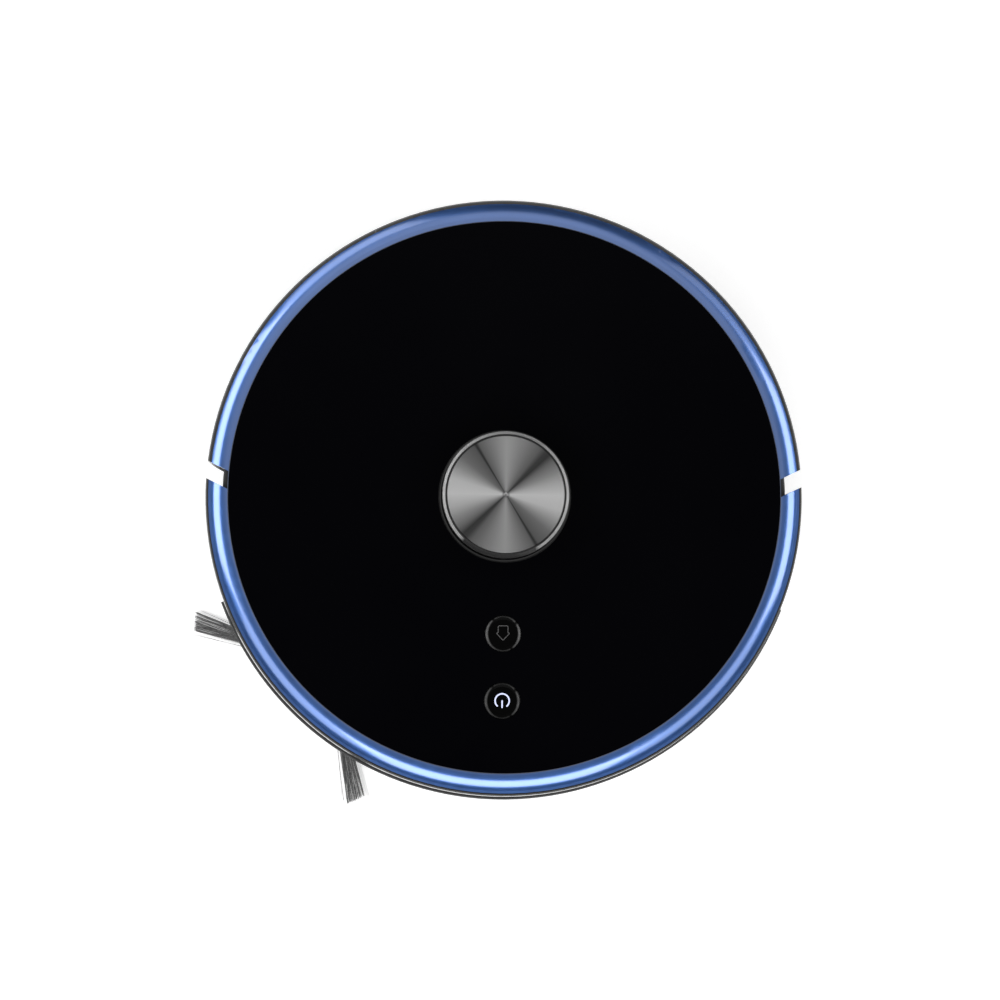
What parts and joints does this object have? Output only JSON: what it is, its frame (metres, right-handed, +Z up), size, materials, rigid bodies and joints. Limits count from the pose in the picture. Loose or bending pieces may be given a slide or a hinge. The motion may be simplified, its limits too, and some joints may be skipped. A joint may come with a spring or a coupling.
{
  "type": "robot vacuum",
  "caption": "Round robot vacuum with a raised laser turret, glass top, ring trim, sprung front bumper, side brush, main brush, drive wheels and slide-out dustbin.",
  "frame": {"origin": "on the floor, under the centre of the round body, which is the laser turret's axis", "axes": "+Z up, -Y towards the bumper, which is the front, and +X to the right seen from behind"},
  "size_m": [0.3568, 0.3571, 0.095],
  "materials": {
    "black_glass": "polished",
    "shell_black": "gloss",
    "body_black": "fine texture",
    "trim_blue": "metallic gloss",
    "window_smoke": "gloss",
    "strip_rubber": "matte",
    "turned_metal": "radially brushed",
    "button_black": "gloss",
    "inner_plastic": "matte",
    "grey_plastic": "matte",
    "tread_rubber": "matte",
    "bristle_grey": "fibres",
    "brush_fibre": "fibres",
    "steel": "satin",
    "contact_metal": "polished",
    "board_green": "solder mask",
    "battery_wrap": "shrink wrap",
    "bin_smoke": "translucent gloss",
    "filter_white": "pleated",
    "lens_dark": "polished",
    "belt_rubber": "matte"
  },
  "bodies": {
    "body": {"chassis": "body_black", "top_cover": "body_black", "glass_panel": "black_glass", "rear_shell": "shell_black", "rear_trim": "trim_blue", "turret_collar": "shell_black", "lidar_base": "inner_plastic", "lidar_motor": "steel", "lidar_belt": "belt_rubber", "button_board": "board_green", "castor_socket": "grey_plastic", "brush_housing": "inner_plastic", "brush_motor": "inner_plastic", "side_brush_motor": "inner_plastic", "main_board": "board_green", "battery_pack": "battery_wrap", "battery_cover": "body_black", "charging_contacts": "contact_metal", "cliff_windows": "lens_dark", "bump_switches": "inner_plastic", "fan_housing": "inner_plastic", "charging_socket": "inner_plastic", "chassis_screws": "steel", "wheel_housings": "inner_plastic"},
    "bumper": {"bumper_shell": "shell_black", "bumper_trim": "trim_blue", "bumper_window": "window_smoke", "bumper_strip": "strip_rubber"},
    "turret_cap": {"turret_cap": "shell_black", "turret_disc": "turned_metal"},
    "scanner": {"lidar_head": "inner_plastic", "lidar_lenses": "lens_dark"},
    "scanner_pulley": {"lidar_pulley": "grey_plastic"},
    "home_button": {"home_button": "button_black"},
    "power_button": {"power_button": "button_black"},
    "castor_fork": {"castor_fork": "inner_plastic"},
    "castor_wheel": {"castor_wheel": "grey_plastic"},
    "main_brush": {"main_brush_core": "inner_plastic", "main_brush_bristles": "brush_fibre"},
    "brush_guard": {"brush_guard": "body_black", "brush_squeegee": "strip_rubber"},
    "side_brush": {"side_brush_hub": "inner_plastic", "side_brush_tufts": "bristle_grey"},
    "dustbin": {"dustbin_tub": "bin_smoke", "dustbin_lid": "inner_plastic", "dustbin_face": "shell_black", "dustbin_filter": "filter_white"},
    "dustbin_button": {"dustbin_button": "grey_plastic"},
    "fan": {"fan_impeller": "grey_plastic"},
    "power_rocker": {"rocker_switch": "button_black"},
    "drive_arm_right": {"drive_arm_right": "inner_plastic", "drive_motor_right": "steel", "suspension_spring_right": "steel"},
    "wheel_right": {"wheel_hub_right": "grey_plastic", "tyre_right": "tread_rubber"},
    "drive_arm_left": {"drive_arm_left": "inner_plastic", "drive_motor_left": "steel", "suspension_spring_left": "steel"},
    "wheel_left": {"wheel_hub_left": "grey_plastic", "tyre_left": "tread_rubber"}
  },
  "joints": [
    {"name": "bumper_push", "type": "slide", "parent": "body", "child": "bumper", "axis": [0, 1, 0], "range_m": [0, 0.004], "stiffness_N_per_m": 400, "springref_m": -0.004},
    {"name": "turret_cap_press", "type": "slide", "parent": "body", "child": "turret_cap", "axis": [0, 0, -1], "range_m": [0, 0.001], "stiffness_N_per_m": 1500, "springref_m": -0.001},
    {"name": "scanner_spin", "type": "hinge", "parent": "body", "child": "scanner", "pos_m": [0, 0, 0.07], "axis": [0, 0, 1], "continuous": true},
    {"name": "scanner_pulley_spin", "type": "hinge", "parent": "body", "child": "scanner_pulley", "pos_m": [0, 0.058, 0.064], "axis": [0, 0, 1], "continuous": true},
    {"name": "home_press", "type": "slide", "parent": "body", "child": "home_button", "axis": [0, 0, -1], "range_m": [0, 0.0008], "stiffness_N_per_m": 600, "springref_m": -0.0006},
    {"name": "power_press", "type": "slide", "parent": "body", "child": "power_button", "axis": [0, 0, -1], "range_m": [0, 0.0008], "stiffness_N_per_m": 600, "springref_m": -0.0006},
    {"name": "castor_swivel", "type": "hinge", "parent": "body", "child": "castor_fork", "pos_m": [0, -0.128, 0.03], "axis": [0, 0, 1], "continuous": true},
    {"name": "castor_roll", "type": "hinge", "parent": "castor_fork", "child": "castor_wheel", "pos_m": [0, -0.124, 0.0125], "axis": [1, 0, 0], "continuous": true},
    {"name": "main_brush_spin", "type": "hinge", "parent": "body", "child": "main_brush", "pos_m": [0, 0.048, 0.0205], "axis": [1, 0, 0], "continuous": true},
    {"name": "brush_guard_open", "type": "hinge", "parent": "body", "child": "brush_guard", "pos_m": [0, 0.075, 0.0107], "axis": [1, 0, 0], "range_deg": [0, 95]},
    {"name": "side_brush_spin", "type": "hinge", "parent": "body", "child": "side_brush", "pos_m": [-0.102, -0.101, 0.009], "axis": [0, 0, 1], "continuous": true},
    {"name": "dustbin_slide", "type": "slide", "parent": "body", "child": "dustbin", "axis": [0, 1, 0], "range_m": [0, 0.11]},
    {"name": "dustbin_release", "type": "slide", "parent": "dustbin", "child": "dustbin_button", "axis": [0, -1, 0], "range_m": [0, 0.0015], "stiffness_N_per_m": 500, "springref_m": -0.001},
    {"name": "fan_spin", "type": "hinge", "parent": "body", "child": "fan", "pos_m": [0.1115, 0.07, 0.034], "axis": [0, 0, 1], "continuous": true},
    {"name": "power_rocker_tilt", "type": "hinge", "parent": "body", "child": "power_rocker", "pos_m": [-0.14913, 0.07929, 0.048], "axis": [0, 0, 1], "range_deg": [-12, 0]},
    {"name": "suspension_right", "type": "hinge", "parent": "body", "child": "drive_arm_right", "pos_m": [0.1, -0.04, 0.037], "axis": [-1, 0, 0], "range_deg": [0, 20], "stiffness_Nm_per_rad": 0.4, "springref_deg": 35.52, "deforming": ["suspension_spring_right"]},
    {"name": "wheel_spin_right", "type": "hinge", "parent": "drive_arm_right", "child": "wheel_right", "pos_m": [0.115, 0, 0.033], "axis": [1, 0, 0], "continuous": true},
    {"name": "suspension_left", "type": "hinge", "parent": "body", "child": "drive_arm_left", "pos_m": [-0.1, -0.04, 0.037], "axis": [-1, 0, 0], "range_deg": [0, 20], "stiffness_Nm_per_rad": 0.4, "springref_deg": 35.52, "deforming": ["suspension_spring_left", "side_brush_tufts"]},
    {"name": "wheel_spin_left", "type": "hinge", "parent": "drive_arm_left", "child": "wheel_left", "pos_m": [-0.115, 0, 0.033], "axis": [1, 0, 0], "continuous": true}
  ],
  "couplings": [
    {"joint": "scanner_pulley_spin", "follows": "scanner_spin", "ratio": 5.5667}
  ]
}
